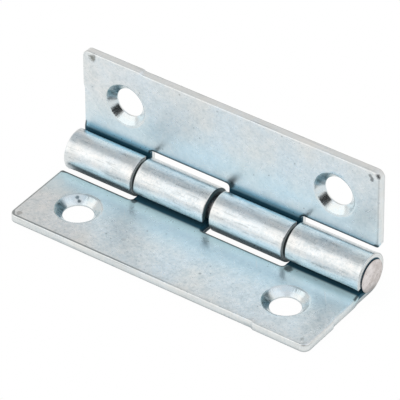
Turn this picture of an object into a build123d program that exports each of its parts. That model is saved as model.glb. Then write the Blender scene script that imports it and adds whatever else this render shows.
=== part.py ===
from build123d import *
from math import cos, radians, sin
import os

os.makedirs("parts", exist_ok=True)

# Sheet steel, and the barrel that the edge of each leaf is rolled into.
sheet = 1.25
barrel_r = 3.05
bore_r = barrel_r - sheet

# Barrel from left to right: knuckles one and three belong to the upright leaf, two and four to the lower.
knuckle_1 = 11.60
gap_1 = 0.58
knuckle_2 = 12.00
gap_2 = 1.05
knuckle_3 = 12.20
gap_3 = 0.66
knuckle_4 = 12.18
barrel_length = knuckle_1 + gap_1 + knuckle_2 + gap_2 + knuckle_3 + gap_3 + knuckle_4

# Where each roll stops, in degrees below the height of the pin axis, leaving a seam above the leaf.
lip_1 = 24
lip_2 = 20
lip_3 = 22
lip_4 = 22

# Hinge pin: a running fit in the bores, with its ends spread over the barrel's end faces.
pin_play = 0.05
pin_r = bore_r - pin_play
end_play = 0.14
head_inset = 0.57
head_r = barrel_r - head_inset
head_edge = 0.22
head_dome = 0.22
tail_inset = 0.70
tail_r = barrel_r - tail_inset
tail_edge = 0.10
tail_dome = 0.14

# Leaf blank, measured out from the pin axis; the notches clear the other leaf's knuckles.
reach = 16.0
notch_clear = 0.50
notch = barrel_r + notch_clear
corner_r = 1.1
root_r = 0.45
notch_r = 0.5

# The blanking tool left one outer corner of each leaf a little proud, with a soft step to either side.
step_run = 0.45
step_r = 0.6

# Screw holes, countersunk at a right angle from the barrel side.
hole_r = 2.25
sink_r = 3.28
hole_pitch = 35.4
hole_out = 9.4

# Broken edges of the stamping, on the front face and on the back face.
face_edge = 0.14
back_edge = 0.10

# Lower leaf, measured from the right-hand end of the barrel.
lower_hole = 7.55
lower_side = -0.15
lower_proud_side = 0.20
lower_proud_edge = 0.24
lower_step_along = 8.4
lower_step_depth = 7.0
lower_far_tip = 0.08
lower_far_root = -0.18
lower_far_drop = 0.0

# Upright leaf, measured from the left-hand end of the barrel.
upright_hole = 7.42
upright_side = 0.14
upright_proud_side = 0.20
upright_proud_edge = 0.19
upright_step_along = 9.8
upright_step_depth = 6.35
upright_far_tip = 0.20
upright_far_root = 0.04
upright_far_drop = 0.19


def blank(spans, side, proud_side, proud_edge, step_along, step_depth, far_tip, far_root, far_drop):
    """Flat outline of a leaf: proud outer corner, two tabs for the knuckles, notches between them."""
    (end_a, end_b), (mid_a, mid_b) = spans
    corners = [
        (end_a, 0, 0),
        (end_a, notch - step_run, step_r),
        (side, notch + step_run, step_r),
        (side, reach - step_depth, step_r),
        (side - proud_side, reach - step_depth + step_run, step_r),
        (side - proud_side, reach, corner_r),
        (step_along, reach, step_r),
        (step_along + step_run, reach - proud_edge, step_r),
        (barrel_length - far_tip, reach - far_drop, corner_r),
        (barrel_length - far_root, notch, root_r),
        (mid_b, notch, notch_r),
        (mid_b, 0, 0),
        (mid_a, 0, 0),
        (mid_a, notch, notch_r),
        (end_b, notch, notch_r),
        (end_b, 0, 0),
    ]
    path = [(along, out) for along, out, radius in corners]
    radii = [radius for along, out, radius in corners]
    return make_face(FilletPolyline(*path, radius=radii, close=True))


def knuckle(span, lip):
    """Sheet rolled round the pin from the leaf's back face, stopping short of the leaf's front face."""
    start, stop = span
    far = 3 * barrel_r
    seam = make_face(Polyline(
        (0, 0), (0, -far), (far, -far), (far * cos(radians(lip)), -far * sin(radians(lip))), close=True))
    roll = Circle(barrel_r) - Circle(bore_r) - seam
    return Pos(start, 0, barrel_r) * extrude(Plane.YZ * roll, amount=stop - start)


def screw_hole(along):
    """Straight hole with a countersink that opens on the front face."""
    sink = sink_r - hole_r
    drill = Cylinder(hole_r, 4 * sheet)
    cone = Pos(0, 0, sheet - sink / 2) * Cone(hole_r, sink_r, sink)
    return Pos(along, hole_out, 0) * (drill + cone)


def leaf(outline, spans, lips, first_hole):
    """One leaf in its own axes: along the barrel, out from the pin, and from back face to front face."""
    body = extrude(outline, amount=sheet)
    for span, lip in zip(spans, lips):
        body += knuckle(span, lip)
    front = body.edges().filter_by_position(Axis.Z, sheet, sheet)
    body = chamfer(front, face_edge)
    back = body.edges().filter_by_position(Axis.Z, 0, 0)
    body = chamfer(back, back_edge)
    for along in (first_hole, first_hole + hole_pitch):
        body -= screw_hole(along)
    return body


def peened_end(radius, rim, dome):
    """Spread end of the pin: a short rim under a shallow dome, standing on its seat along +Z."""
    ball_r = (radius * radius + dome * dome) / (2 * dome)
    ball = Pos(0, 0, rim + dome - ball_r) * Sphere(ball_r)
    end = Pos(0, 0, (rim + dome) / 2) * Cylinder(radius, rim + dome) & ball
    return fillet(end.edges().filter_by_position(Axis.Z, 0.9 * rim, 1.1 * rim), rim / 2)


# The lower leaf's screw pattern is centred on the origin, with its back face on the ground plane.
axis_y = hole_out
barrel_right = lower_hole + hole_pitch / 2
barrel_left = barrel_right - barrel_length

# Lower leaf: it lies flat and its barrel runs from right to left.
lower_spans = [
    (0, knuckle_4),
    (knuckle_4 + gap_3 + knuckle_3 + gap_2, knuckle_4 + gap_3 + knuckle_3 + gap_2 + knuckle_2),
]
lower_outline = blank(
    lower_spans, lower_side, lower_proud_side, lower_proud_edge, lower_step_along, lower_step_depth,
    lower_far_tip, lower_far_root, lower_far_drop)
lower_axes = Plane(origin=(barrel_right, axis_y, 0), x_dir=(-1, 0, 0), z_dir=(0, 0, 1))
lower_leaf = lower_axes * leaf(lower_outline, lower_spans, (lip_4, lip_2), lower_hole)

# Upright leaf: it stands square to the lower one and its barrel runs from left to right.
upright_spans = [
    (0, knuckle_1),
    (knuckle_1 + gap_1 + knuckle_2 + gap_2, knuckle_1 + gap_1 + knuckle_2 + gap_2 + knuckle_3),
]
upright_outline = blank(
    upright_spans, upright_side, upright_proud_side, upright_proud_edge, upright_step_along, upright_step_depth,
    upright_far_tip, upright_far_root, upright_far_drop)
upright_axes = Plane(origin=(barrel_left, axis_y + barrel_r, barrel_r), x_dir=(1, 0, 0), z_dir=(0, -1, 0))
upright_leaf = upright_axes * leaf(upright_outline, upright_spans, (lip_1, lip_3), upright_hole)

# Hinge pin: shank, then a low dome on each end, seated just clear of the barrel's end faces.
tail_seat = barrel_left - end_play
head_seat = barrel_right + end_play
shank = Pos((tail_seat + head_seat) / 2, 0, 0) * Rot(0, 90, 0) * Cylinder(pin_r, head_seat - tail_seat)
head = Pos(head_seat, 0, 0) * Rot(0, 90, 0) * peened_end(head_r, head_edge, head_dome)
tail = Pos(tail_seat, 0, 0) * Rot(0, -90, 0) * peened_end(tail_r, tail_edge, tail_dome)
hinge_pin = Pos(0, axis_y, barrel_r) * (shank + head + tail)

export_step(lower_leaf, "parts/lower_leaf.step")
export_step(upright_leaf, "parts/upright_leaf.step")
export_step(hinge_pin, "parts/hinge_pin.step")
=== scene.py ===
import math
import bmesh
import bpy
import numpy as np
from mathutils import Matrix, Vector, noise


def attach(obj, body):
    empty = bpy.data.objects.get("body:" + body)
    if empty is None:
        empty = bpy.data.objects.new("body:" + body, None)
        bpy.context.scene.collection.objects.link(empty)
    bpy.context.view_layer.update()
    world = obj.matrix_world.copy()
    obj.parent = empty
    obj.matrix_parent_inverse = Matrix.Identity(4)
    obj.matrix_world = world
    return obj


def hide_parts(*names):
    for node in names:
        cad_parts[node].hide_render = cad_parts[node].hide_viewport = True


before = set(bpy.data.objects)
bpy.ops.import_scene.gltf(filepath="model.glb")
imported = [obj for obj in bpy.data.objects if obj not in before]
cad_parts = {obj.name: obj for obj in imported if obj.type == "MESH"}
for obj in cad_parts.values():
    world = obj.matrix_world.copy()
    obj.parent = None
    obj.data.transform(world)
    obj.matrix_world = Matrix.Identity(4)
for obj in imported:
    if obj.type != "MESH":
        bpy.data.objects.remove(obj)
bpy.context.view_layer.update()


# Lower leaf: sheet steel blanked with two tabs, punched and countersunk for screws, then each tab
# is rolled round the pin into a knuckle. Barrel-plated in zinc and dipped in a blue passivate.
# It lies flat, carries the second and fourth knuckles, and holds the pin.

mm = 0.001
sheet = 1.25
barrel_r = 3.05
knuckles = (11.60, 12.00, 12.20, 12.18)
gaps = (0.58, 1.05, 0.66)
barrel_length = sum(knuckles) + sum(gaps)
pin_y = 9.4
notch = barrel_r + 0.5
hole_r = 2.25
sink_r = 3.28
hole_pitch = 35.4
hole_out = 9.4
lower_hole = 7.55
barrel_right = lower_hole + hole_pitch / 2
barrel_left = barrel_right - barrel_length
roll_r = barrel_r - sheet / 2


def rolled_length(lip):
    """Length of tab that a knuckle takes up when its roll stops lip degrees below the pin's height."""
    return math.radians(270 + lip) * roll_r


def leaf_corners(spans, lips, side, proud_side, proud_edge, step_along, depth, far_tip, far_root, far_drop):
    """Corners of the flat blank as along, out and radius, with the tabs laid out to their full length."""
    reach, run = 16.0, 0.45
    corner_r, step_r, root_r, notch_r, tab_r = 1.1, 0.6, 0.45, 0.5, 0.4
    (end_a, end_b), (mid_a, mid_b) = spans
    end_tip, mid_tip = (-rolled_length(lip) for lip in lips)
    return [
        (end_a, end_tip, tab_r),
        (end_a, notch - run, step_r),
        (side, notch + run, step_r),
        (side, reach - depth, step_r),
        (side - proud_side, reach - depth + run, step_r),
        (side - proud_side, reach, corner_r),
        (step_along, reach, step_r),
        (step_along + run, reach - proud_edge, step_r),
        (barrel_length - far_tip, reach - far_drop, corner_r),
        (barrel_length - far_root, notch, root_r),
        (mid_b, notch, notch_r),
        (mid_b, mid_tip, tab_r),
        (mid_a, mid_tip, tab_r),
        (mid_a, notch, notch_r),
        (end_b, notch, notch_r),
        (end_b, end_tip, tab_r),
    ]


def rounded(corners):
    """Outline through the corners, each turned on its own radius."""
    points = []
    for i, (along, out, radius) in enumerate(corners):
        here = Vector((along, out))
        before = (Vector(corners[i - 1][:2]) - here).normalized()
        after = (Vector(corners[(i + 1) % len(corners)][:2]) - here).normalized()
        turn = math.pi - before.angle(after)
        start = here + before * radius * math.tan(turn / 2)
        centre = here + (before + after).normalized() * radius / math.cos(turn / 2)
        way = math.copysign(turn, before.cross(after) * -1)
        steps = max(2, math.ceil(turn / math.radians(11)))
        for k in range(steps + 1):
            arm = (start - centre).copy()
            arm.rotate(Matrix.Rotation(way * k / steps, 2))
            points.append(centre + arm)
    return points


def inward(points, distance):
    """Outline moved into the sheet by a distance; it runs clockwise, so inward is to the right."""
    moved = []
    for i, here in enumerate(points):
        a = (here - points[i - 1]).normalized()
        b = (points[(i + 1) % len(points)] - here).normalized()
        mean = (a + b).normalized()
        side = Vector((mean.y, -mean.x))
        moved.append(here + side * distance / max(0.3, mean.dot(a)))
    return moved


def blank_mesh(name, corners, lip_eases):
    """Flat blank, its edges rolled over by the shear and its tab ends eased, cut fine enough to bend."""
    face_edge, back_edge, turns = 0.22, 0.12, 3
    outline = rounded(corners)
    rings = []
    for k in range(turns + 1):
        angle = math.pi / 2 * k / turns
        rings.append((back_edge * (1 - math.sin(angle)), back_edge * (1 - math.cos(angle))))
    for k in range(turns + 1):
        angle = math.pi / 2 * k / turns
        rings.append((face_edge * (1 - math.cos(angle)), sheet - face_edge * (1 - math.sin(angle))))
    bm = bmesh.new()
    loops = [[bm.verts.new((p.x, p.y, height)) for p in inward(outline, depth)] for depth, height in rings]
    for lower, upper in zip(loops, loops[1:]):
        for i in range(len(lower)):
            bm.faces.new((lower[i - 1], lower[i], upper[i], upper[i - 1]))
    bm.faces.new(loops[0])
    bm.faces.new(loops[-1])
    bmesh.ops.recalc_face_normals(bm, faces=bm.faces)

    # Cuts across the blank: close together where it is rolled, wider apart where it stays flat.
    longest = -min(out for along, out, radius in corners)
    fine, coarse = 0.25, 0.7
    cuts = [((0, 0.013 - fine * k, 0), (0, 1, 0)) for k in range(int(longest / fine) + 1)]
    cuts += [((0, 0.713 + coarse * k, 0), (0, 1, 0)) for k in range(21)]
    cuts += [((0.341 + coarse * k, 0, 0), (1, 0, 0)) for k in range(72)]
    tabs = [(corners[0], corners[15], lip_eases[0]), (corners[12], corners[11], lip_eases[1])]
    for (start, tip, _), (stop, _, _), ease in tabs:
        cuts += [((0, tip + ease * part, 0), (0, 1, 0)) for part in (0.04, 0.14, 0.30, 0.52, 1.0)]
    for place, across in cuts:
        geometry = bm.verts[:] + bm.edges[:] + bm.faces[:]
        bmesh.ops.bisect_plane(bm, geom=geometry, dist=1e-4, plane_co=place, plane_no=across)
    for v in bm.verts:
        for (start, tip, _), (stop, _, _), ease in tabs:
            if start - 0.01 < v.co.x < stop + 0.01 and v.co.y < tip + ease:
                short = min(1.0, 1 - (v.co.y - tip) / ease)
                v.co.z = max(v.co.z, ease * (1 - math.sqrt(1 - short * short)))

    # Distance of each place from the outline, for the finish.
    rim = np.array([p[:] for p in outline])
    ahead = np.roll(rim, -1, 0) - rim
    span = (ahead ** 2).sum(1)
    layer = bm.verts.layers.float.new("edge")
    for v in bm.verts:
        apart = np.array(v.co[:2]) - rim
        t = np.clip((apart * ahead).sum(1) / span, 0, 1)
        v[layer] = float(np.sqrt(((apart - ahead * t[:, None]) ** 2).sum(1).min()))
    bmesh.ops.scale(bm, vec=(mm, mm, mm), verts=bm.verts)
    mesh = bpy.data.meshes.new(name)
    bm.to_mesh(mesh)
    bm.free()
    return mesh


def add(tree, kind, settings, sockets):
    """One node: its settings by name, and its sockets by name or place, each linked or given a value."""
    node = tree.nodes.new(kind)
    for key, value in settings.items():
        setattr(node, key, value)
    for key, value in sockets.items():
        for one in value if isinstance(value, list) else [value]:
            if isinstance(one, bpy.types.Node):
                one = next(output for output in one.outputs if output.enabled)
            if isinstance(one, bpy.types.NodeSocket):
                tree.links.new(one, node.inputs[key])
            else:
                node.inputs[key].default_value = one
    return node


def rolling_tree():
    """Punches the screw holes through a flat blank, then rolls what lies beyond the pin into knuckles."""
    tree = bpy.data.node_groups.new("punch_and_roll", "GeometryNodeTree")
    tree.interface.new_socket(name="Leaf", in_out="OUTPUT", socket_type="NodeSocketGeometry")
    tree.interface.new_socket(name="Blank", in_out="INPUT", socket_type="NodeSocketGeometry")
    for name in (
            "Sheet", "Barrel Radius", "Hole Radius", "Sink Radius", "First Hole", "Hole Pitch", "Hole Out",
            "Rim Ease", "Notch", "Notch Slant", "Flare", "Flare Run", "Outer Knuckle", "Outer Rise"):
        tree.interface.new_socket(name=name, in_out="INPUT", socket_type="NodeSocketFloat")
    tree.interface.new_socket(name="Finish", in_out="INPUT", socket_type="NodeSocketMaterial")
    given = add(tree, "NodeGroupInput", {}, {}).outputs
    plus, minus, times = {"operation": "ADD"}, {"operation": "SUBTRACT"}, {"operation": "MULTIPLY"}
    below, more = {"operation": "LESS_THAN"}, {"operation": "MULTIPLY_ADD"}

    # Cutters at each hole: a drill, the countersink's cone, and a shallow cone that eases its rim.
    first = add(tree, "ShaderNodeCombineXYZ", {}, {
        "X": given["First Hole"], "Y": given["Hole Out"], "Z": given["Sheet"]})
    step = add(tree, "ShaderNodeCombineXYZ", {}, {"X": given["Hole Pitch"]})
    places = add(tree, "GeometryNodeMeshLine", {"mode": "OFFSET"}, {
        "Count": 2, "Start Location": first, "Offset": step})
    length = add(tree, "ShaderNodeMath", times, {0: given["Sheet"], 1: 4.0})
    drill = add(tree, "GeometryNodeMeshCylinder", {"fill_type": "NGON"}, {
        "Vertices": 96, "Radius": given["Hole Radius"], "Depth": length})
    over = add(tree, "ShaderNodeMath", times, {0: given["Rim Ease"], 1: 3.0})
    cone_top = add(tree, "ShaderNodeMath", plus, {0: given["Sink Radius"], 1: over})
    cone_bottom = add(tree, "ShaderNodeMath", minus, {0: given["Hole Radius"], 1: over})
    cone_depth = add(tree, "ShaderNodeMath", minus, {0: cone_top, 1: cone_bottom})
    cone_drop = add(tree, "ShaderNodeMath", minus, {0: over, 1: cone_depth})
    rim_top = add(tree, "ShaderNodeMath", more, {0: given["Rim Ease"], 1: 3.4, 2: given["Sink Radius"]})
    rim_bottom = add(tree, "ShaderNodeMath", more, {0: given["Rim Ease"], 1: -5.4, 2: given["Sink Radius"]})
    rim_depth = add(tree, "ShaderNodeMath", times, {0: given["Rim Ease"], 1: 4.0})
    rim_drop = add(tree, "ShaderNodeMath", times, {0: given["Rim Ease"], 1: -3.0})
    tools = [drill]
    for top, bottom, depth, drop in (
            (cone_top, cone_bottom, cone_depth, cone_drop), (rim_top, rim_bottom, rim_depth, rim_drop)):
        cone = add(tree, "GeometryNodeMeshCone", {"fill_type": "NGON"}, {
            "Vertices": 96, "Radius Top": top, "Radius Bottom": bottom, "Depth": depth})
        down = add(tree, "ShaderNodeCombineXYZ", {}, {"Z": drop})
        tools.append(add(tree, "GeometryNodeTransform", {}, {"Geometry": cone, "Translation": down}))
    cutters = [
        add(tree, "GeometryNodeInstanceOnPoints", {}, {"Points": places, "Instance": tool})
        for tool in tools]
    punched = add(tree, "GeometryNodeMeshBoolean", {"operation": "DIFFERENCE", "solver": "EXACT"}, {
        "Mesh 1": given["Blank"], "Mesh 2": cutters})

    # What the finish needs to know: the place on the flat blank, the distance from the nearest hole's
    # centre, whether a face is in a countersink, and whether it is a sheared side.
    position = add(tree, "GeometryNodeInputPosition", {}, {})
    along, out, through = add(tree, "ShaderNodeSeparateXYZ", {}, {0: position}).outputs
    past = add(tree, "ShaderNodeMath", minus, {0: along, 1: given["First Hole"]})
    near = add(tree, "ShaderNodeMath", {"operation": "PINGPONG"}, {0: past, 1: given["Hole Pitch"]})
    far = add(tree, "ShaderNodeMath", minus, {0: given["Hole Pitch"], 1: near})
    near = add(tree, "ShaderNodeMath", {"operation": "MINIMUM"}, {0: near, 1: far})
    off = add(tree, "ShaderNodeMath", minus, {0: out, 1: given["Hole Out"]})
    apart = add(tree, "ShaderNodeCombineXYZ", {}, {"X": near, "Y": off})
    bore = add(tree, "ShaderNodeVectorMath", {"operation": "LENGTH"}, {0: apart}).outputs["Value"]
    mouth = add(tree, "ShaderNodeMath", plus, {0: given["Sink Radius"], 1: given["Rim Ease"]})
    sink = add(tree, "ShaderNodeMath", below, {0: bore, 1: mouth})
    normal = add(tree, "GeometryNodeInputNormal", {}, {})
    slope = add(tree, "ShaderNodeSeparateXYZ", {}, {0: normal}).outputs["Z"]
    slope = add(tree, "ShaderNodeMath", {"operation": "ABSOLUTE"}, {0: slope})
    shear = add(tree, "ShaderNodeMath", below, {0: slope, 1: 0.35})
    marked = punched
    for name, kind, domain, value in (
            ("flat", "FLOAT_VECTOR", "POINT", position),
            ("bore", "FLOAT", "POINT", bore),
            ("sink", "FLOAT", "FACE", sink),
            ("shear", "FLOAT", "FACE", shear)):
        marked = add(tree, "GeometryNodeStoreNamedAttribute", {"data_type": kind, "domain": domain}, {
            "Geometry": marked, "Name": name, "Value": value})

    # The notches' sides slant, and come a little nearer the pin at the front face than at the back.
    from_notch = add(tree, "ShaderNodeMath", minus, {0: out, 1: given["Notch"]})
    from_notch = add(tree, "ShaderNodeMath", {"operation": "ABSOLUTE"}, {0: from_notch})
    beside = add(tree, "ShaderNodeMapRange", {}, {
        "Value": from_notch, "From Min": 1.6 * mm, "From Max": 0.6 * mm})
    depth = add(tree, "ShaderNodeMath", {"operation": "DIVIDE"}, {0: through, 1: given["Sheet"]})
    slant = add(tree, "ShaderNodeMath", times, {0: beside, 1: depth})
    slant = add(tree, "ShaderNodeMath", times, {0: slant, 1: given["Notch Slant"]})
    slant = add(tree, "ShaderNodeMath", times, {0: slant, 1: -1.0})
    slant = add(tree, "ShaderNodeCombineXYZ", {}, {"Y": slant})
    struck = add(tree, "GeometryNodeSetPosition", {}, {"Geometry": marked, "Offset": slant})

    # The roll: what lies beyond the pin wraps round it, a little wider at the leaf's outer end, and
    # stands a little tall over the pin along the outer knuckle.
    half = add(tree, "ShaderNodeMath", times, {0: given["Sheet"], 1: 0.5})
    middle = add(tree, "ShaderNodeMath", minus, {0: given["Barrel Radius"], 1: half})
    back = add(tree, "ShaderNodeMath", times, {0: out, 1: -1.0})
    turn = add(tree, "ShaderNodeMath", {"operation": "DIVIDE"}, {0: back, 1: middle})
    run = add(tree, "ShaderNodeMath", {"operation": "DIVIDE"}, {0: along, 1: given["Flare Run"]})
    wide = add(tree, "ShaderNodeMath", {"operation": "SUBTRACT", "use_clamp": True}, {0: 1.0, 1: run})
    wide = add(tree, "ShaderNodeMath", {"operation": "POWER"}, {0: wide, 1: 2.0})
    begun = add(tree, "ShaderNodeMath", {"operation": "MULTIPLY", "use_clamp": True}, {0: turn, 1: 0.8})
    wide = add(tree, "ShaderNodeMath", times, {0: wide, 1: begun})
    arm = add(tree, "ShaderNodeMath", minus, {0: given["Barrel Radius"], 1: through})
    arm = add(tree, "ShaderNodeMath", more, {0: wide, 1: given["Flare"], 2: arm})
    sine = add(tree, "ShaderNodeMath", {"operation": "SINE"}, {0: turn})
    cosine = add(tree, "ShaderNodeMath", {"operation": "COSINE"}, {0: turn})
    tall = add(tree, "ShaderNodeMath", {"operation": "MULTIPLY", "use_clamp": True}, {0: cosine, 1: -1.0})
    outer = add(tree, "ShaderNodeMath", below, {0: along, 1: given["Outer Knuckle"]})
    tall = add(tree, "ShaderNodeMath", times, {0: tall, 1: outer})
    arm = add(tree, "ShaderNodeMath", more, {0: tall, 1: given["Outer Rise"], 2: arm})
    inward_of = add(tree, "ShaderNodeMath", times, {0: arm, 1: sine})
    behind = add(tree, "ShaderNodeMath", times, {0: inward_of, 1: -1.0})
    drop = add(tree, "ShaderNodeMath", times, {0: arm, 1: cosine})
    height = add(tree, "ShaderNodeMath", minus, {0: given["Barrel Radius"], 1: drop})
    rolled = add(tree, "ShaderNodeCombineXYZ", {}, {"X": along, "Y": behind, "Z": height})
    tab = add(tree, "ShaderNodeMath", below, {0: out, 1: 0.0})
    bent = add(tree, "GeometryNodeSetPosition", {}, {
        "Geometry": struck, "Selection": tab, "Position": rolled})
    real = add(tree, "GeometryNodeRealizeInstances", {}, {"Geometry": bent})
    finished = add(tree, "GeometryNodeSetMaterial", {}, {"Geometry": real, "Material": given["Finish"]})
    add(tree, "NodeGroupOutput", {}, {"Leaf": finished})
    return tree


punch_and_roll = rolling_tree()


def make_leaf(name, corners, lip_eases, outer_rise, first_hole, finish, axes):
    """Blank, punch and roll one leaf, then set it in its place in the hinge."""
    blank = bpy.data.objects.new(name + "_blank", blank_mesh(name + "_blank", corners, lip_eases))
    bpy.context.scene.collection.objects.link(blank)
    roll = blank.modifiers.new("punch_and_roll", "NODES")
    roll.node_group = punch_and_roll
    values = {
        "Sheet": sheet * mm, "Barrel Radius": barrel_r * mm,
        "Hole Radius": hole_r * mm, "Sink Radius": sink_r * mm, "Rim Ease": 0.10 * mm,
        "First Hole": first_hole * mm, "Hole Pitch": hole_pitch * mm, "Hole Out": hole_out * mm,
        "Notch": notch * mm, "Notch Slant": 0.18 * mm,
        "Flare": 0.10 * mm, "Flare Run": 1.8 * mm,
        "Outer Knuckle": barrel_length / 4 * mm, "Outer Rise": outer_rise * mm,
        "Finish": finish}
    for item in punch_and_roll.interface.items_tree:
        if item.name in values:
            roll[item.identifier] = values[item.name]
    mesh = bpy.data.meshes.new_from_object(blank.evaluated_get(bpy.context.evaluated_depsgraph_get()))
    bpy.data.objects.remove(blank)
    mesh.name = name
    mesh.transform(axes)
    mesh.shade_smooth()
    mesh.set_sharp_from_angle(angle=math.radians(33))
    leaf = bpy.data.objects.new(name, mesh)
    bpy.context.scene.collection.objects.link(leaf)
    shade = leaf.modifiers.new("flat_faces", "WEIGHTED_NORMAL")
    shade.keep_sharp = True
    shade.weight = 80
    return leaf


def linear(code):
    """sRGB hex to linear colour."""
    parts = [int(code[i:i + 2], 16) / 255 for i in (1, 3, 5)]
    return (*[c / 12.92 if c <= 0.04045 else ((c + 0.055) / 1.055) ** 2.4 for c in parts], 1)


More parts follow.
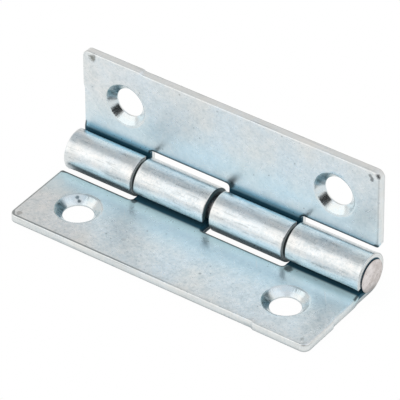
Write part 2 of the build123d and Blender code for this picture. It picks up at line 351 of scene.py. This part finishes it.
# Zinc plate, blue-passivated: satin metal, a cool cyan grey that clouds towards warm grey, with sandy
# tumbling grain, pin-prick pits and hairline scratches. Beside the barrel it is painted bluer, a painted
# reflection of light bounced between barrel and leaf, and painted shade darkens its seams, knuckle gaps and
# notch edges.
# The grain is under 0.1 mm in truth and is drawn about four times as coarse, so that it shows.
def zinc_plate(
        name, first_hole, sink_shade_side, seam_outs, fringe_run, fringe_reflection_tint, fringe_dull, end_painted_light_and_shade, cast, wear,
        line_run, line_depth, scuffs_and_shades):
    """Plating for one leaf, with places in mm on its flat blank."""
    finish = bpy.data.materials.new(name)
    finish.use_nodes = True
    tree = finish.node_tree
    smooth, times = {"interpolation_type": "SMOOTHSTEP"}, {"operation": "MULTIPLY"}
    times_plus = {"operation": "MULTIPLY_ADD"}

    # Places on the flat blank in millimetres, so every pattern runs on round the knuckles.
    marks = {key: add(tree, "ShaderNodeAttribute", {"attribute_name": key}, {}).outputs
             for key in ("flat", "bore", "edge", "sink", "shear")}
    flat = add(tree, "ShaderNodeVectorMath", {"operation": "SCALE"}, {
        0: marks["flat"]["Vector"], "Scale": 1 / mm})
    along, out, through = add(tree, "ShaderNodeSeparateXYZ", {}, {0: flat}).outputs
    bore = add(tree, "ShaderNodeMath", times, {0: marks["bore"]["Fac"], 1: 1 / mm})
    edge, sink, shear = (marks[key]["Fac"] for key in ("edge", "sink", "shear"))

    # Distance out from each knuckle's own seam; the middle knuckle's lies a little further out.
    end_seam, mid_seam = seam_outs
    seam_out = add(tree, "ShaderNodeMapRange", {}, {
        "Value": along, "From Min": 13.0, "From Max": 24.0, "To Min": end_seam, "To Max": mid_seam})
    past_seam = add(tree, "ShaderNodeMath", {"operation": "SUBTRACT"}, {0: out, 1: seam_out})

    # Which way a place lies from its hole's centre: 1 on the side of the countersink that takes the painted
    # shade, -1 opposite.
    side = add(tree, "ShaderNodeMath", {"operation": "SUBTRACT"}, {0: along, 1: first_hole})
    side = add(tree, "ShaderNodeMath", {"operation": "WRAP"}, {
        0: side, 1: hole_pitch / 2, 2: -hole_pitch / 2})
    rise = add(tree, "ShaderNodeMath", {"operation": "SUBTRACT"}, {0: out, 1: hole_out})
    lean = add(tree, "ShaderNodeCombineXYZ", {}, {"X": side, "Y": rise})
    lean = add(tree, "ShaderNodeVectorMath", {"operation": "NORMALIZE"}, {0: lean})
    lean = add(tree, "ShaderNodeVectorMath", {"operation": "DOT_PRODUCT"}, {
        0: lean, 1: (*sink_shade_side, 0)}).outputs["Value"]

    # Patterns: size along the barrel, out from it and through the sheet, turn, detail and roughness.
    pattern = {}
    for key, size, turn, detail, rough in (
            ("bloom", (9.0, 9.0, 9.0), 0, 3.0, 0.60),
            ("mottle", (1.2, 1.2, 1.2), 0, 5.0, 0.65),
            ("grain", (0.36, 0.36, 0.36), 0, 2.0, 0.70),
            ("streaks", (3.2, 0.32, 0.32), 0, 3.0, 0.60),
            ("patches", (2.4, 2.4, 2.4), 0, 2.0, 0.60),
            ("tears", (0.22, 0.22, 3.6), 0, 3.0, 0.60),
            ("drag", (7.0, 7.0, 0.30), 0, 3.0, 0.60),
            ("hairs 1", (3.2, 0.16, 5.0), 0.45, 1.0, 0.50),
            ("hairs 2", (4.0, 0.20, 5.0), -0.90, 1.0, 0.50),
            ("hairs 3", (2.8, 0.14, 5.0), 1.35, 1.0, 0.50)):
        laid = add(tree, "ShaderNodeMapping", {"vector_type": "TEXTURE"}, {
            "Vector": flat, "Rotation": (0, 0, turn), "Scale": size})
        pattern[key] = add(tree, "ShaderNodeTexNoise", {}, {
            "Vector": laid, "Scale": 1.0, "Detail": detail, "Roughness": rough})
    cells = add(tree, "ShaderNodeTexVoronoi", {"feature": "F1"}, {"Vector": flat, "Scale": 1 / 1.1})

    # Where each thing shows: what it is read from, where that begins and is full, and what bounds it.
    shown = {}
    for key, source, begins, full, bounds in (
            ("front", through, 0.50 * sheet, 0.62 * sheet, ()),
            ("rolled", out, 0.4, -0.8, ()),
            ("off the back", through, 0.04, 0.16, ()),
            ("countersink", sink, 0.0, 1.0, ("off the back",)),
            ("uncut", sink, 1.0, 0.0, ()),
            ("unsheared", shear, 1.0, 0.0, ()),
            ("clouds", pattern["bloom"], 0.36, 0.66, ()),
            ("blotches", pattern["patches"], 0.42, 0.66, ()),
            ("mottle", pattern["mottle"], 0.30, 0.75, ()),
            ("light grain", pattern["grain"], 0.48, 0.75, ()),
            ("dark grain", pattern["grain"], 0.50, 0.25, ()),
            ("light streaks", pattern["streaks"], 0.52, 0.75, ("rolled",)),
            ("dark streaks", pattern["streaks"], 0.48, 0.28, ("rolled",)),
            ("painted blue reflection", out, 10.5, 5.0, ("front",)),
            ("hairs 1", pattern["hairs 1"], 0.70, 0.76, ("uncut",)),
            ("hairs 2", pattern["hairs 2"], 0.70, 0.76, ("uncut",)),
            ("hairs 3", pattern["hairs 3"], 0.70, 0.76, ("uncut",)),
            ("pitted", pattern["patches"], 0.54, 0.62, ()),
            ("pits", cells.outputs["Distance"], 0.15, 0.06, ("pitted",)),
            # Painted shade on one side of each countersink.
            ("painted sink shade", lean, 0.70, 0.97, ("countersink",)),
            ("painted rim highlight", bore, sink_r + 0.34, sink_r + 0.10, ("uncut",)),
            ("sheared", shear, 0.0, 1.0, ("uncut",)),
            ("torn", pattern["tears"], 0.20, 0.70, ("sheared",)),
            # Painted contact shadow along the back of the sheared sides.
            ("painted contact shadow", through, 0.26, 0.06, ("sheared",)),
            ("dark drag", pattern["drag"], 0.48, 0.26, ("sheared",)),
            ("light drag", pattern["drag"], 0.52, 0.72, ("sheared",)),
            ("rubbed", pattern["mottle"], 0.40, 0.62, ()),
            ("worn edge", edge, 0.75, 0.05, ("rubbed",)),
            # Marks for painted light: a reflection beside the seam, shade lines on edges and notches, shade
            # in the seams, and light and shade on the knuckles' inner ends.
            ("painted seam reflection", past_seam, fringe_run, 0.05, ("front",)),
            ("lined", along, *line_run, ("front", "unsheared")),
            ("rounding", edge, 0.04, 0.16, ("lined",)),
            ("painted edge shade", edge, 0.42, 0.26, ("rounding",)),
            ("beside barrel", out, 4.3, 4.0, ("front", "unsheared")),
            ("painted notch shadow", edge, 0.50, 0.24, ("beside barrel",)),
            ("seam", past_seam, 0.0, -0.50, ("front",)),
            ("inner end", along, 0.4, 0.9, ("rolled",)),
            ("end face", shear, 0.0, 1.0, ("inner end",)),
            ("painted gap shade", through, 0.50, 0.68, ("end face",)),
            ("painted lip shade", through, 0.28, 0.16, ("end face",))):
        here = add(tree, "ShaderNodeMapRange", smooth, {
            "Value": source, "From Min": begins, "From Max": full})
        for bound in bounds:
            here = add(tree, "ShaderNodeMath", times, {0: here, 1: shown[bound]})
        shown[key] = here

    # Layers of colour from the lowest up: where each shows, how strongly, and its tint.
    layers = [
        ("clouds", 1.00, "#ECF0F1"),
        ("blotches", 0.22 * wear, "#D2DEE4"),
        ("mottle", 0.32 * wear, "#C6D6DE"),
        ("light grain", 0.52 * wear, "#F5F8F9"),
        ("dark grain", 0.40 * wear, "#BAC6CC"),
        ("light streaks", 0.70, "#F4F7F8"),
        ("dark streaks", 0.75, "#B0BBC0"),
        # Painted reflection: bluer beside the barrel, for light bounced between the barrel and the leaf.
        ("painted blue reflection", cast, "#CCECFB"),
        ("hairs 1", 0.25, "#F6F8F9"),
        ("hairs 2", 0.25, "#F6F8F9"),
        ("hairs 3", 0.25, "#F6F8F9"),
        ("pits", 0.50, "#66737A"),
        ("countersink", 0.60, "#D6E6EE"),
        # Painted shade: dark teal on one side of each countersink.
        ("painted sink shade", 0.68, "#2F6E78"),
        # Painted highlight: a light ring round each countersink's mouth.
        ("painted rim highlight", 0.30, "#F1F3F1"),
        ("torn", 0.80, "#ECF2F4"),
        ("dark drag", 0.60, "#98A1A4"),
        ("light drag", 0.60, "#FBFDFD"),
        # Painted contact shadow: darker along the back edge of the sheared sides.
        ("painted contact shadow", 0.55, "#7F8688"),
        ("worn edge", 0.35, "#F0F2F0"),
        # Painted reflection: pale blue on the face just beyond the seam.
        ("painted seam reflection", 0.80, fringe_reflection_tint),
        # Painted shade: a thin dark line along the edge rounding.
        ("painted edge shade", line_depth, "#7D868A"),
        # Painted shadow: a dark line along the notch edges beside the barrel.
        ("painted notch shadow", 0.85, "#2E3D43"),
        # Painted shade: dark teal deep in the seam beside the barrel.
        ("seam", 0.97, "#0B5068"),
        # Painted light and shade on the knuckles' inner end faces: pale on the upright leaf, dark teal on
        # the lower, then a dark line of painted shade at the outer edge and deep painted shade further in.
        ("end face", 1.00, end_painted_light_and_shade),
        ("painted gap shade", 0.85, "#1E343C"),
        ("painted lip shade", 0.65, "#3B4B52"),
    ]

    # Single marks with ragged rims, scuffs and patches of painted shade and dark reflection: place on the
    # blank, width, strength and tint.
    for place_along, place_out, place_through, width, strength, tint in scuffs_and_shades:
        apart = add(tree, "ShaderNodeVectorMath", {"operation": "DISTANCE"}, {
            0: flat, 1: (place_along, place_out, place_through)}).outputs["Value"]
        ragged = add(tree, "ShaderNodeMath", times_plus, {0: pattern["mottle"], 1: 2.2 * width, 2: apart})
        key = f"scuff_and_shade {len(layers)}"
        shown[key] = add(tree, "ShaderNodeMapRange", smooth, {
            "Value": ragged, "From Min": 2.1 * width, "From Max": 1.45 * width})
        layers.append((key, strength, tint))

    colour = linear("#E3F0F9")
    for key, strength, tint in layers:
        part = add(tree, "ShaderNodeMath", times, {0: shown[key], 1: strength})
        colour = add(tree, "ShaderNodeMix", {"data_type": "RGBA"}, {
            "Factor": part, "A": colour, "B": linear(tint)})

    # Less metal in and beside the seams and on the knuckles' inner ends, so that the light and shade
    # painted there show in any light; rougher where the sheet was sheared; and a fine relief.
    metallic, rough, height = 1.0, 0.19, 0.0
    for source, amount in (
            (shown["painted seam reflection"], -fringe_dull),
            (shown["seam"], fringe_dull - 0.85),
            (shown["end face"], -1.0)):
        metallic = add(tree, "ShaderNodeMath", times_plus, {0: source, 1: amount, 2: metallic})
    for source, amount in (
            (pattern["mottle"], 0.12), (pattern["grain"], 0.08), (shown["countersink"], -0.09),
            (shown["sheared"], 0.14), (shown["seam"], 0.25)):
        rough = add(tree, "ShaderNodeMath", times_plus, {0: source, 1: amount, 2: rough})
    rings = add(tree, "ShaderNodeMath", times, {0: bore, 1: 2 * math.pi / 0.30})
    rings = add(tree, "ShaderNodeMath", {"operation": "SINE"}, {0: rings})
    rings = add(tree, "ShaderNodeMath", times, {0: rings, 1: shown["countersink"]})
    drawn = add(tree, "ShaderNodeMath", times, {0: pattern["streaks"], 1: shown["rolled"]})
    for source, amount in (
            (pattern["mottle"], 0.5), (pattern["grain"], 0.35), (drawn, 0.8), (shown["pits"], -0.5),
            (shown["hairs 1"], -0.2), (shown["hairs 2"], -0.2), (shown["hairs 3"], -0.2),
            (rings, 0.02), (shown["torn"], 0.8)):
        height = add(tree, "ShaderNodeMath", times_plus, {0: source, 1: amount, 2: height})
    bump = add(tree, "ShaderNodeBump", {}, {"Height": height, "Strength": 0.5, "Distance": 0.03 * mm})
    shader = tree.nodes["Principled BSDF"]
    for socket, node in (
            ("Base Color", colour), ("Metallic", metallic), ("Roughness", rough), ("Normal", bump)):
        tree.links.new(next(output for output in node.outputs if output.enabled), shader.inputs[socket])
    return finish


lower_spans = (
    (0, knuckles[3]),
    (barrel_length - knuckles[0] - gaps[0] - knuckles[1], barrel_length - knuckles[0] - gaps[0]))
lower_corners = leaf_corners(
    lower_spans, lips=(22, 20), side=-0.15, proud_side=0.20, proud_edge=0.24, step_along=8.4, depth=7.0,
    far_tip=0.08, far_root=-0.18, far_drop=0.0)
lower_scuffs_and_shades = [
    (20.45, 11.4, 1.25, 0.28, 0.55, "#7F8C92"),
    (33.5, 11.4, 1.25, 0.45, 0.30, "#8F9A9E"),
    (49.0, 15.1, 1.25, 0.55, 0.55, "#8C8F8E"),
    (1.05, 14.9, 1.25, 0.45, 0.45, "#8E9391"),
    (0.15, 15.9, 1.25, 0.30, 0.60, "#F2F2EE"),
    # Painted shade on one flank of the second countersink.
    (44.85, 7.08, 0.95, 0.40, 0.75, "#3E5A66"),
    (44.40, 7.22, 0.55, 0.36, 0.80, "#2E4650"),
    # Painted reflection of the dark knuckle gaps at two notch corners.
    (11.25, 3.55, 1.25, 0.85, 0.80, "#1A2326"),
    (37.55, 3.65, 1.25, 0.60, 0.75, "#1A2326"),
]
# The cast, seam, fringe, end and line settings place and tint the painted reflection, shade and highlight
# on this leaf.
lower_finish = zinc_plate(
    "zinc plated steel, lower leaf", first_hole=lower_hole, sink_shade_side=(0.87, 0.50), seam_outs=(3.30, 3.80),
    fringe_run=2.0, fringe_reflection_tint="#C4EAF3", fringe_dull=0.85, end_painted_light_and_shade="#4A6870", cast=0.68, wear=1.45,
    line_run=(16.0, 34.0), line_depth=0.75, scuffs_and_shades=lower_scuffs_and_shades)
lower_axes = Matrix((
    (-1, 0, 0, barrel_right * mm),
    (0, -1, 0, pin_y * mm),
    (0, 0, 1, 0),
    (0, 0, 0, 1)))
lower_leaf = make_leaf(
    "lower_leaf_plate", lower_corners, lip_eases=(0.50, 0.22), outer_rise=0.25, first_hole=lower_hole,
    finish=lower_finish, axes=lower_axes)
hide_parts("lower_leaf")
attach(lower_leaf, "lower")


# Upright leaf: the same sheet steel, blanked, punched, rolled and plated in the same way. It stands
# square to the lower leaf on the first and third knuckles and turns on the pin.

upright_hole = 7.42
upright_spans = (
    (0, knuckles[0]),
    (knuckles[0] + gaps[0] + knuckles[1] + gaps[1], barrel_length - knuckles[3] - gaps[2]))
upright_corners = leaf_corners(
    upright_spans, lips=(24, 22), side=0.14, proud_side=0.20, proud_edge=0.19, step_along=9.8, depth=6.35,
    far_tip=0.20, far_root=0.04, far_drop=0.19)
upright_scuffs_and_shades = [
    (1.7, 15.2, 1.25, 0.80, 0.75, "#5E5E52"),
    (48.45, 15.05, 1.25, 0.40, 0.70, "#6E7478"),
    (48.75, 14.50, 1.25, 0.36, 0.75, "#5E646A"),
    (49.78, 15.42, 1.25, 0.52, 0.88, "#34383F"),
    (16.8, 15.2, 1.25, 0.22, 0.45, "#828D92"),
    (23.2, 15.0, 1.25, 0.20, 0.40, "#828D92"),
    (34.0, 15.4, 1.25, 0.20, 0.40, "#828D92"),
    # Painted reflection of the dark knuckle gaps at two notch corners.
    (25.80, 3.80, 1.25, 0.70, 0.78, "#1C2C33"),
    (38.05, 3.80, 1.25, 0.50, 0.65, "#24363B"),
]
# The cast, seam, fringe, end and line settings place and tint the painted reflection, shade and highlight
# on this leaf.
upright_finish = zinc_plate(
    "zinc plated steel, upright leaf", first_hole=upright_hole, sink_shade_side=(-0.77, 0.64),
    seam_outs=(3.44, 3.42), fringe_run=1.15, fringe_reflection_tint="#8ED3F0", fringe_dull=0.42, end_painted_light_and_shade="#F4FCFC",
    cast=0.40, wear=1.05, line_run=(49.1, 49.3), line_depth=0.30, scuffs_and_shades=upright_scuffs_and_shades)
upright_axes = Matrix((
    (1, 0, 0, barrel_left * mm),
    (0, 0, -1, (pin_y + barrel_r) * mm),
    (0, 1, 0, barrel_r * mm),
    (0, 0, 0, 1)))
upright_leaf = make_leaf(
    "upright_leaf_plate", upright_corners, lip_eases=(0.22, 0.22), outer_rise=0.0, first_hole=upright_hole,
    finish=upright_finish, axes=upright_axes)
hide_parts("upright_leaf")
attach(upright_leaf, "upright")


# Hinge pin: a length of drawn steel wire through all four knuckles, its ends spread by a spinning
# peen so that it can't work out. Left bare, it has a warm grey end with dents and rings from the peen.

pin_r = barrel_r - sheet - 0.05
end_play = 0.14
head_r, head_edge, head_dome = barrel_r - 0.57, 0.13, 0.31
tail_r, tail_edge, tail_dome = barrel_r - 0.70, 0.10, 0.14


def peened_profile(radius, rim, dome):
    """Half section of a spread end as (height above its seat, radius), from the seat to the crown."""
    ball_r = (radius * radius + dome * dome) / (2 * dome)
    points = [(0.0, radius - 0.06), (0.04, radius), (0.5 * rim, radius), (0.8 * rim, radius - 0.03)]
    for part in (0.965, 0.92, 0.86, 0.79, 0.71, 0.62, 0.53, 0.44, 0.35, 0.26, 0.17, 0.08):
        r = radius * part
        points.append((rim + dome - ball_r + math.sqrt(ball_r * ball_r - r * r), r))
    return points


def peened(x, r, angle, crown, radius):
    """A place on a spread end, dented by the peen: the crown is struck down and the rim is uneven."""
    struck = noise.noise(Vector((r * math.cos(angle) / 1.1, r * math.sin(angle) / 1.1, 3.7)))
    ragged = noise.noise(Vector((math.cos(angle) * 1.6, math.sin(angle) * 1.6, 9.1)))
    rings = math.sin(r * 2 * math.pi / 0.62 + 1.4 * struck)
    inner = min(1.0, 1.25 * (1 - r / radius)) if r < radius else 0.0
    return x + crown * (0.13 * struck + 0.022 * rings) * inner, r * (1 + 0.018 * ragged * (r / radius))


turns = 72
angles = [2 * math.pi * k / turns for k in range(turns)]
tail_seat = barrel_left - end_play
head_seat = barrel_right + end_play
sections = []
for height, r in reversed(peened_profile(tail_r, tail_edge, tail_dome)):
    sections.append([peened(tail_seat - height, r, angle, -1, tail_r) for angle in angles])
for x in np.linspace(tail_seat, head_seat, 9):
    sections.append([(float(x), pin_r)] * turns)
for height, r in peened_profile(head_r, head_edge, head_dome):
    sections.append([peened(head_seat + height, r, angle, 1, head_r) for angle in angles])
spun = bmesh.new()
loops = [[spun.verts.new((
    x * mm,
    (pin_y + r * math.cos(angle)) * mm,
    (barrel_r + r * math.sin(angle)) * mm)) for angle, (x, r) in zip(angles, section)]
    for section in sections]
for near_ring, far_ring in zip(loops, loops[1:]):
    for k in range(turns):
        spun.faces.new((near_ring[k - 1], near_ring[k], far_ring[k], far_ring[k - 1]))
for ring in (loops[0], loops[-1]):
    crown = spun.verts.new(sum((v.co for v in ring), Vector()) / turns)
    for k in range(turns):
        spun.faces.new((ring[k - 1], ring[k], crown))
bmesh.ops.recalc_face_normals(spun, faces=spun.faces)
pin_mesh = bpy.data.meshes.new("hinge_pin_wire")
spun.to_mesh(pin_mesh)
spun.free()
pin_mesh.shade_smooth()
pin_mesh.set_sharp_from_angle(angle=math.radians(50))
pin = bpy.data.objects.new("hinge_pin_wire", pin_mesh)
bpy.context.scene.collection.objects.link(pin)

# Bare peened steel: a warm grey, burnished on the high spots and dull in the dents, ringed by the tool, and
# lightened towards the top front as a painted highlight.
bare = bpy.data.materials.new("bare peened steel")
bare.use_nodes = True
tree = bare.node_tree
shader = tree.nodes["Principled BSDF"]
shader.inputs["Metallic"].default_value = 1
place = add(tree, "ShaderNodeTexCoord", {}, {}).outputs["Object"]
place = add(tree, "ShaderNodeMapping", {}, {
    "Vector": place, "Location": (0, -pin_y, -barrel_r), "Scale": (1 / mm, 1 / mm, 1 / mm)}).outputs[0]
dents = add(tree, "ShaderNodeTexNoise", {}, {"Vector": place, "Scale": 1 / 0.9, "Detail": 4.0}).outputs[0]
specks = add(tree, "ShaderNodeTexNoise", {}, {"Vector": place, "Scale": 1 / 0.25, "Detail": 2.0}).outputs[0]
parts = add(tree, "ShaderNodeSeparateXYZ", {}, {0: place}).outputs
across = add(tree, "ShaderNodeCombineXYZ", {}, {"Y": parts["Y"], "Z": parts["Z"]}).outputs[0]
swirl = add(tree, "ShaderNodeVectorMath", {"operation": "LENGTH"}, {0: across}).outputs["Value"]
swirl = add(tree, "ShaderNodeMath", {"operation": "ADD"}, {0: swirl, 1: dents}).outputs[0]
swirl = add(tree, "ShaderNodeMath", {"operation": "MULTIPLY"}, {0: swirl, 1: 2 * math.pi / 0.55}).outputs[0]
swirl = add(tree, "ShaderNodeMath", {"operation": "SINE"}, {0: swirl}).outputs[0]
dull = add(tree, "ShaderNodeMapRange", {}, {"Value": dents, "From Min": 0.35, "From Max": 0.65}).outputs[0]
# Painted highlight: lighter towards the top and front of the pin.
lean = add(tree, "ShaderNodeVectorMath", {"operation": "DOT_PRODUCT"}, {
    0: place, 1: (0, -0.5, 0.8)}).outputs["Value"]
lean = add(tree, "ShaderNodeMapRange", {}, {"Value": lean, "From Min": -2.2, "From Max": 1.8}).outputs[0]
burnished_and_lit = add(tree, "ShaderNodeMix", {"data_type": "FLOAT"}, {
    "Factor": 0.6, "A": dull, "B": lean}).outputs[0]
colour = add(tree, "ShaderNodeMix", {"data_type": "RGBA"}, {
    "Factor": burnished_and_lit, "A": linear("#ADA6A3"), "B": linear("#EDEAEB")}).outputs["Result"]
soot = add(tree, "ShaderNodeMapRange", {}, {
    "Value": specks, "From Min": 0.62, "From Max": 0.72, "To Min": 0.0, "To Max": 0.5}).outputs[0]
colour = add(tree, "ShaderNodeMix", {"data_type": "RGBA"}, {
    "Factor": soot, "A": colour, "B": linear("#6F6468")}).outputs["Result"]
gloss = add(tree, "ShaderNodeMapRange", {}, {"Value": dull, "To Min": 0.42, "To Max": 0.27}).outputs[0]
ridge = add(tree, "ShaderNodeMath", {"operation": "MULTIPLY_ADD"}, {
    0: swirl, 1: 0.14, 2: specks}).outputs[0]
relief = add(tree, "ShaderNodeBump", {}, {"Height": ridge, "Strength": 0.6, "Distance": 0.03 * mm})
tree.links.new(colour, shader.inputs["Base Color"])
tree.links.new(gloss, shader.inputs["Roughness"])
tree.links.new(relief.outputs[0], shader.inputs["Normal"])
pin_mesh.materials.append(bare)
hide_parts("hinge_pin")
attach(pin, "lower")


# Floor and light: a plain white table that fades to shade under the hinge, and two softboxes, a warm one
# at the front left and a weaker one at the right. The pale room is dimmer overhead on the left, and dark
# where the camera stands.

table = bmesh.new()
bmesh.ops.create_grid(table, x_segments=1, y_segments=1, size=1)
table_mesh = bpy.data.meshes.new("floor")
table.to_mesh(table_mesh)
table.free()
floor = bpy.data.objects.new("floor", table_mesh)
bpy.context.scene.collection.objects.link(floor)
paper = bpy.data.materials.new("white paper")
paper.use_nodes = True
tree = paper.node_tree
tree.nodes.clear()
path = add(tree, "ShaderNodeLightPath", {}, {})
mirrored = add(tree, "ShaderNodeMath", {"operation": "MAXIMUM"}, {
    0: path.outputs["Is Glossy Ray"], 1: path.outputs["Is Transmission Ray"]})
seen = add(tree, "ShaderNodeMath", {"operation": "MAXIMUM"}, {
    0: path.outputs["Is Camera Ray"], 1: mirrored.outputs[0]})
shade = add(tree, "ShaderNodeAmbientOcclusion", {"samples": 8}, {"Distance": 5 * mm})
near = add(tree, "ShaderNodeMapRange", {}, {
    "Value": shade.outputs["AO"], "From Min": 0.22, "From Max": 0.75, "To Min": 0.05, "To Max": 0.94})
faint = add(tree, "ShaderNodeMapRange", {}, {
    "Value": shade.outputs["AO"], "From Min": 0.0, "From Max": 0.9, "To Min": 0.97, "To Max": 1.0})
level = add(tree, "ShaderNodeMix", {"data_type": "FLOAT"}, {
    "Factor": mirrored.outputs[0], "A": faint.outputs[0], "B": near.outputs[0]})
cool = add(tree, "ShaderNodeMix", {"data_type": "RGBA"}, {
    "Factor": near.outputs[0], "A": (0.72, 0.90, 0.97, 1), "B": (1.0, 0.965, 0.935, 1)})
tint = add(tree, "ShaderNodeMix", {"data_type": "RGBA"}, {
    "Factor": mirrored.outputs[0], "A": (1, 1, 1, 1), "B": cool.outputs["Result"]})
plain = add(tree, "ShaderNodeBsdfDiffuse", {}, {"Color": linear("#F2F2F0")})
white = add(tree, "ShaderNodeEmission", {}, {"Color": tint.outputs["Result"], "Strength": level.outputs[0]})
surface = add(tree, "ShaderNodeMixShader", {}, {
    0: seen.outputs[0], 1: plain.outputs[0], 2: white.outputs[0]})
add(tree, "ShaderNodeOutputMaterial", {}, {"Surface": surface.outputs[0]})
table_mesh.materials.append(paper)

world = bpy.data.worlds.new("studio")
bpy.context.scene.world = world
world.use_nodes = True
tree = world.node_tree
tree.nodes.clear()
path = add(tree, "ShaderNodeLightPath", {}, {})
direction = add(tree, "ShaderNodeTexCoord", {}, {}).outputs["Generated"]
height = add(tree, "ShaderNodeSeparateXYZ", {}, {0: direction}).outputs["Z"]
room = add(tree, "ShaderNodeValToRGB", {}, {"Fac": height})
bands = room.color_ramp
bands.interpolation = "EASE"
bands.elements[0].position, bands.elements[0].color = 0.0, (0.83, 0.80, 0.77, 1)
bands.elements[1].position, bands.elements[1].color = 1.0, (0.45, 0.47, 0.48, 1)
for place, colour in ((0.60, (0.81, 0.745, 0.70, 1)), (0.87, (0.48, 0.495, 0.50, 1))):
    bands.elements.new(place).color = colour
reach_up = add(tree, "ShaderNodeMapRange", {"interpolation_type": "SMOOTHSTEP"}, {
    "Value": height, "From Min": 0.60, "From Max": 0.80})
right_side = add(tree, "ShaderNodeMapRange", {"interpolation_type": "SMOOTHSTEP"}, {
    "Value": add(tree, "ShaderNodeSeparateXYZ", {}, {0: direction}), "From Min": -0.40, "From Max": -0.05})
lift = add(tree, "ShaderNodeMath", {"operation": "MULTIPLY"}, {0: reach_up, 1: right_side})
room = add(tree, "ShaderNodeMix", {"data_type": "RGBA"}, {
    "Factor": lift, "A": room, "B": (0.80, 0.80, 0.82, 1)})
camera_spot = Vector((0.50, -0.76, 0.30)).normalized()
facing = add(tree, "ShaderNodeVectorMath", {"operation": "DOT_PRODUCT"}, {0: direction, 1: camera_spot})
dark = add(tree, "ShaderNodeMapRange", {"interpolation_type": "SMOOTHSTEP"}, {
    "Value": facing.outputs["Value"],
    "From Min": math.cos(math.radians(30)), "From Max": math.cos(math.radians(17)),
    "To Min": 1.0, "To Max": 0.04})
lit = add(tree, "ShaderNodeVectorMath", {"operation": "SCALE"}, {0: room, "Scale": dark.outputs[0]})
shown = add(tree, "ShaderNodeMix", {"data_type": "RGBA"}, {
    "Factor": path.outputs["Is Camera Ray"], "A": lit.outputs[0], "B": (1, 1, 1, 1)})
glow = add(tree, "ShaderNodeBackground", {}, {"Color": shown.outputs["Result"]})
add(tree, "ShaderNodeOutputWorld", {}, {"Surface": glow.outputs[0]})

# Softboxes: name, direction, width and height in metres, radiance and tint.
lamp_distance = 0.9
for name, toward, width, height, radiance, tint in (
        ("softbox", (-0.49, -0.70, 0.53), 1.16, 0.84, 0.47, (1.0, 0.94, 0.89)),
        ("side_softbox", (0.76, -0.06, 0.64), 1.10, 0.62, 0.26, (1.0, 0.98, 0.98))):
    toward = Vector(toward).normalized()
    lamp = bpy.data.lights.new(name, "AREA")
    lamp.shape = "RECTANGLE"
    lamp.size, lamp.size_y = width, height
    lamp.color = tint
    lamp.energy = radiance * math.pi * width * height
    key = bpy.data.objects.new(name, lamp)
    bpy.context.scene.collection.objects.link(key)
    key.location = toward * lamp_distance
    key.rotation_euler = toward.to_track_quat("Z", "Y").to_euler()


# Camera: a long lens at the photograph's angle, from half a metre off.

azimuth, elevation = math.radians(35.873), math.radians(36.944)
backward = Vector((
    math.sin(azimuth) * math.cos(elevation), -math.cos(azimuth) * math.cos(elevation), math.sin(elevation)))
across = Vector((math.cos(azimuth), math.sin(azimuth), 0))
upward = backward.cross(across)
lens = bpy.data.cameras.new("camera")
lens.sensor_width = 36
lens.lens = 326.5
lens.clip_start = 0.01
camera = bpy.data.objects.new("camera", lens)
bpy.context.scene.collection.objects.link(camera)
aim = Vector((0.2, 4.4, 6.05))
distance, lift_up = 500, 1.49
stand = aim * mm + backward * distance * mm + upward * lift_up * mm
camera.matrix_world = Matrix.Translation(stand) @ Matrix((across, upward, backward)).transposed().to_4x4()
bpy.context.scene.camera = camera

bpy.context.scene.view_settings.view_transform = "Standard"
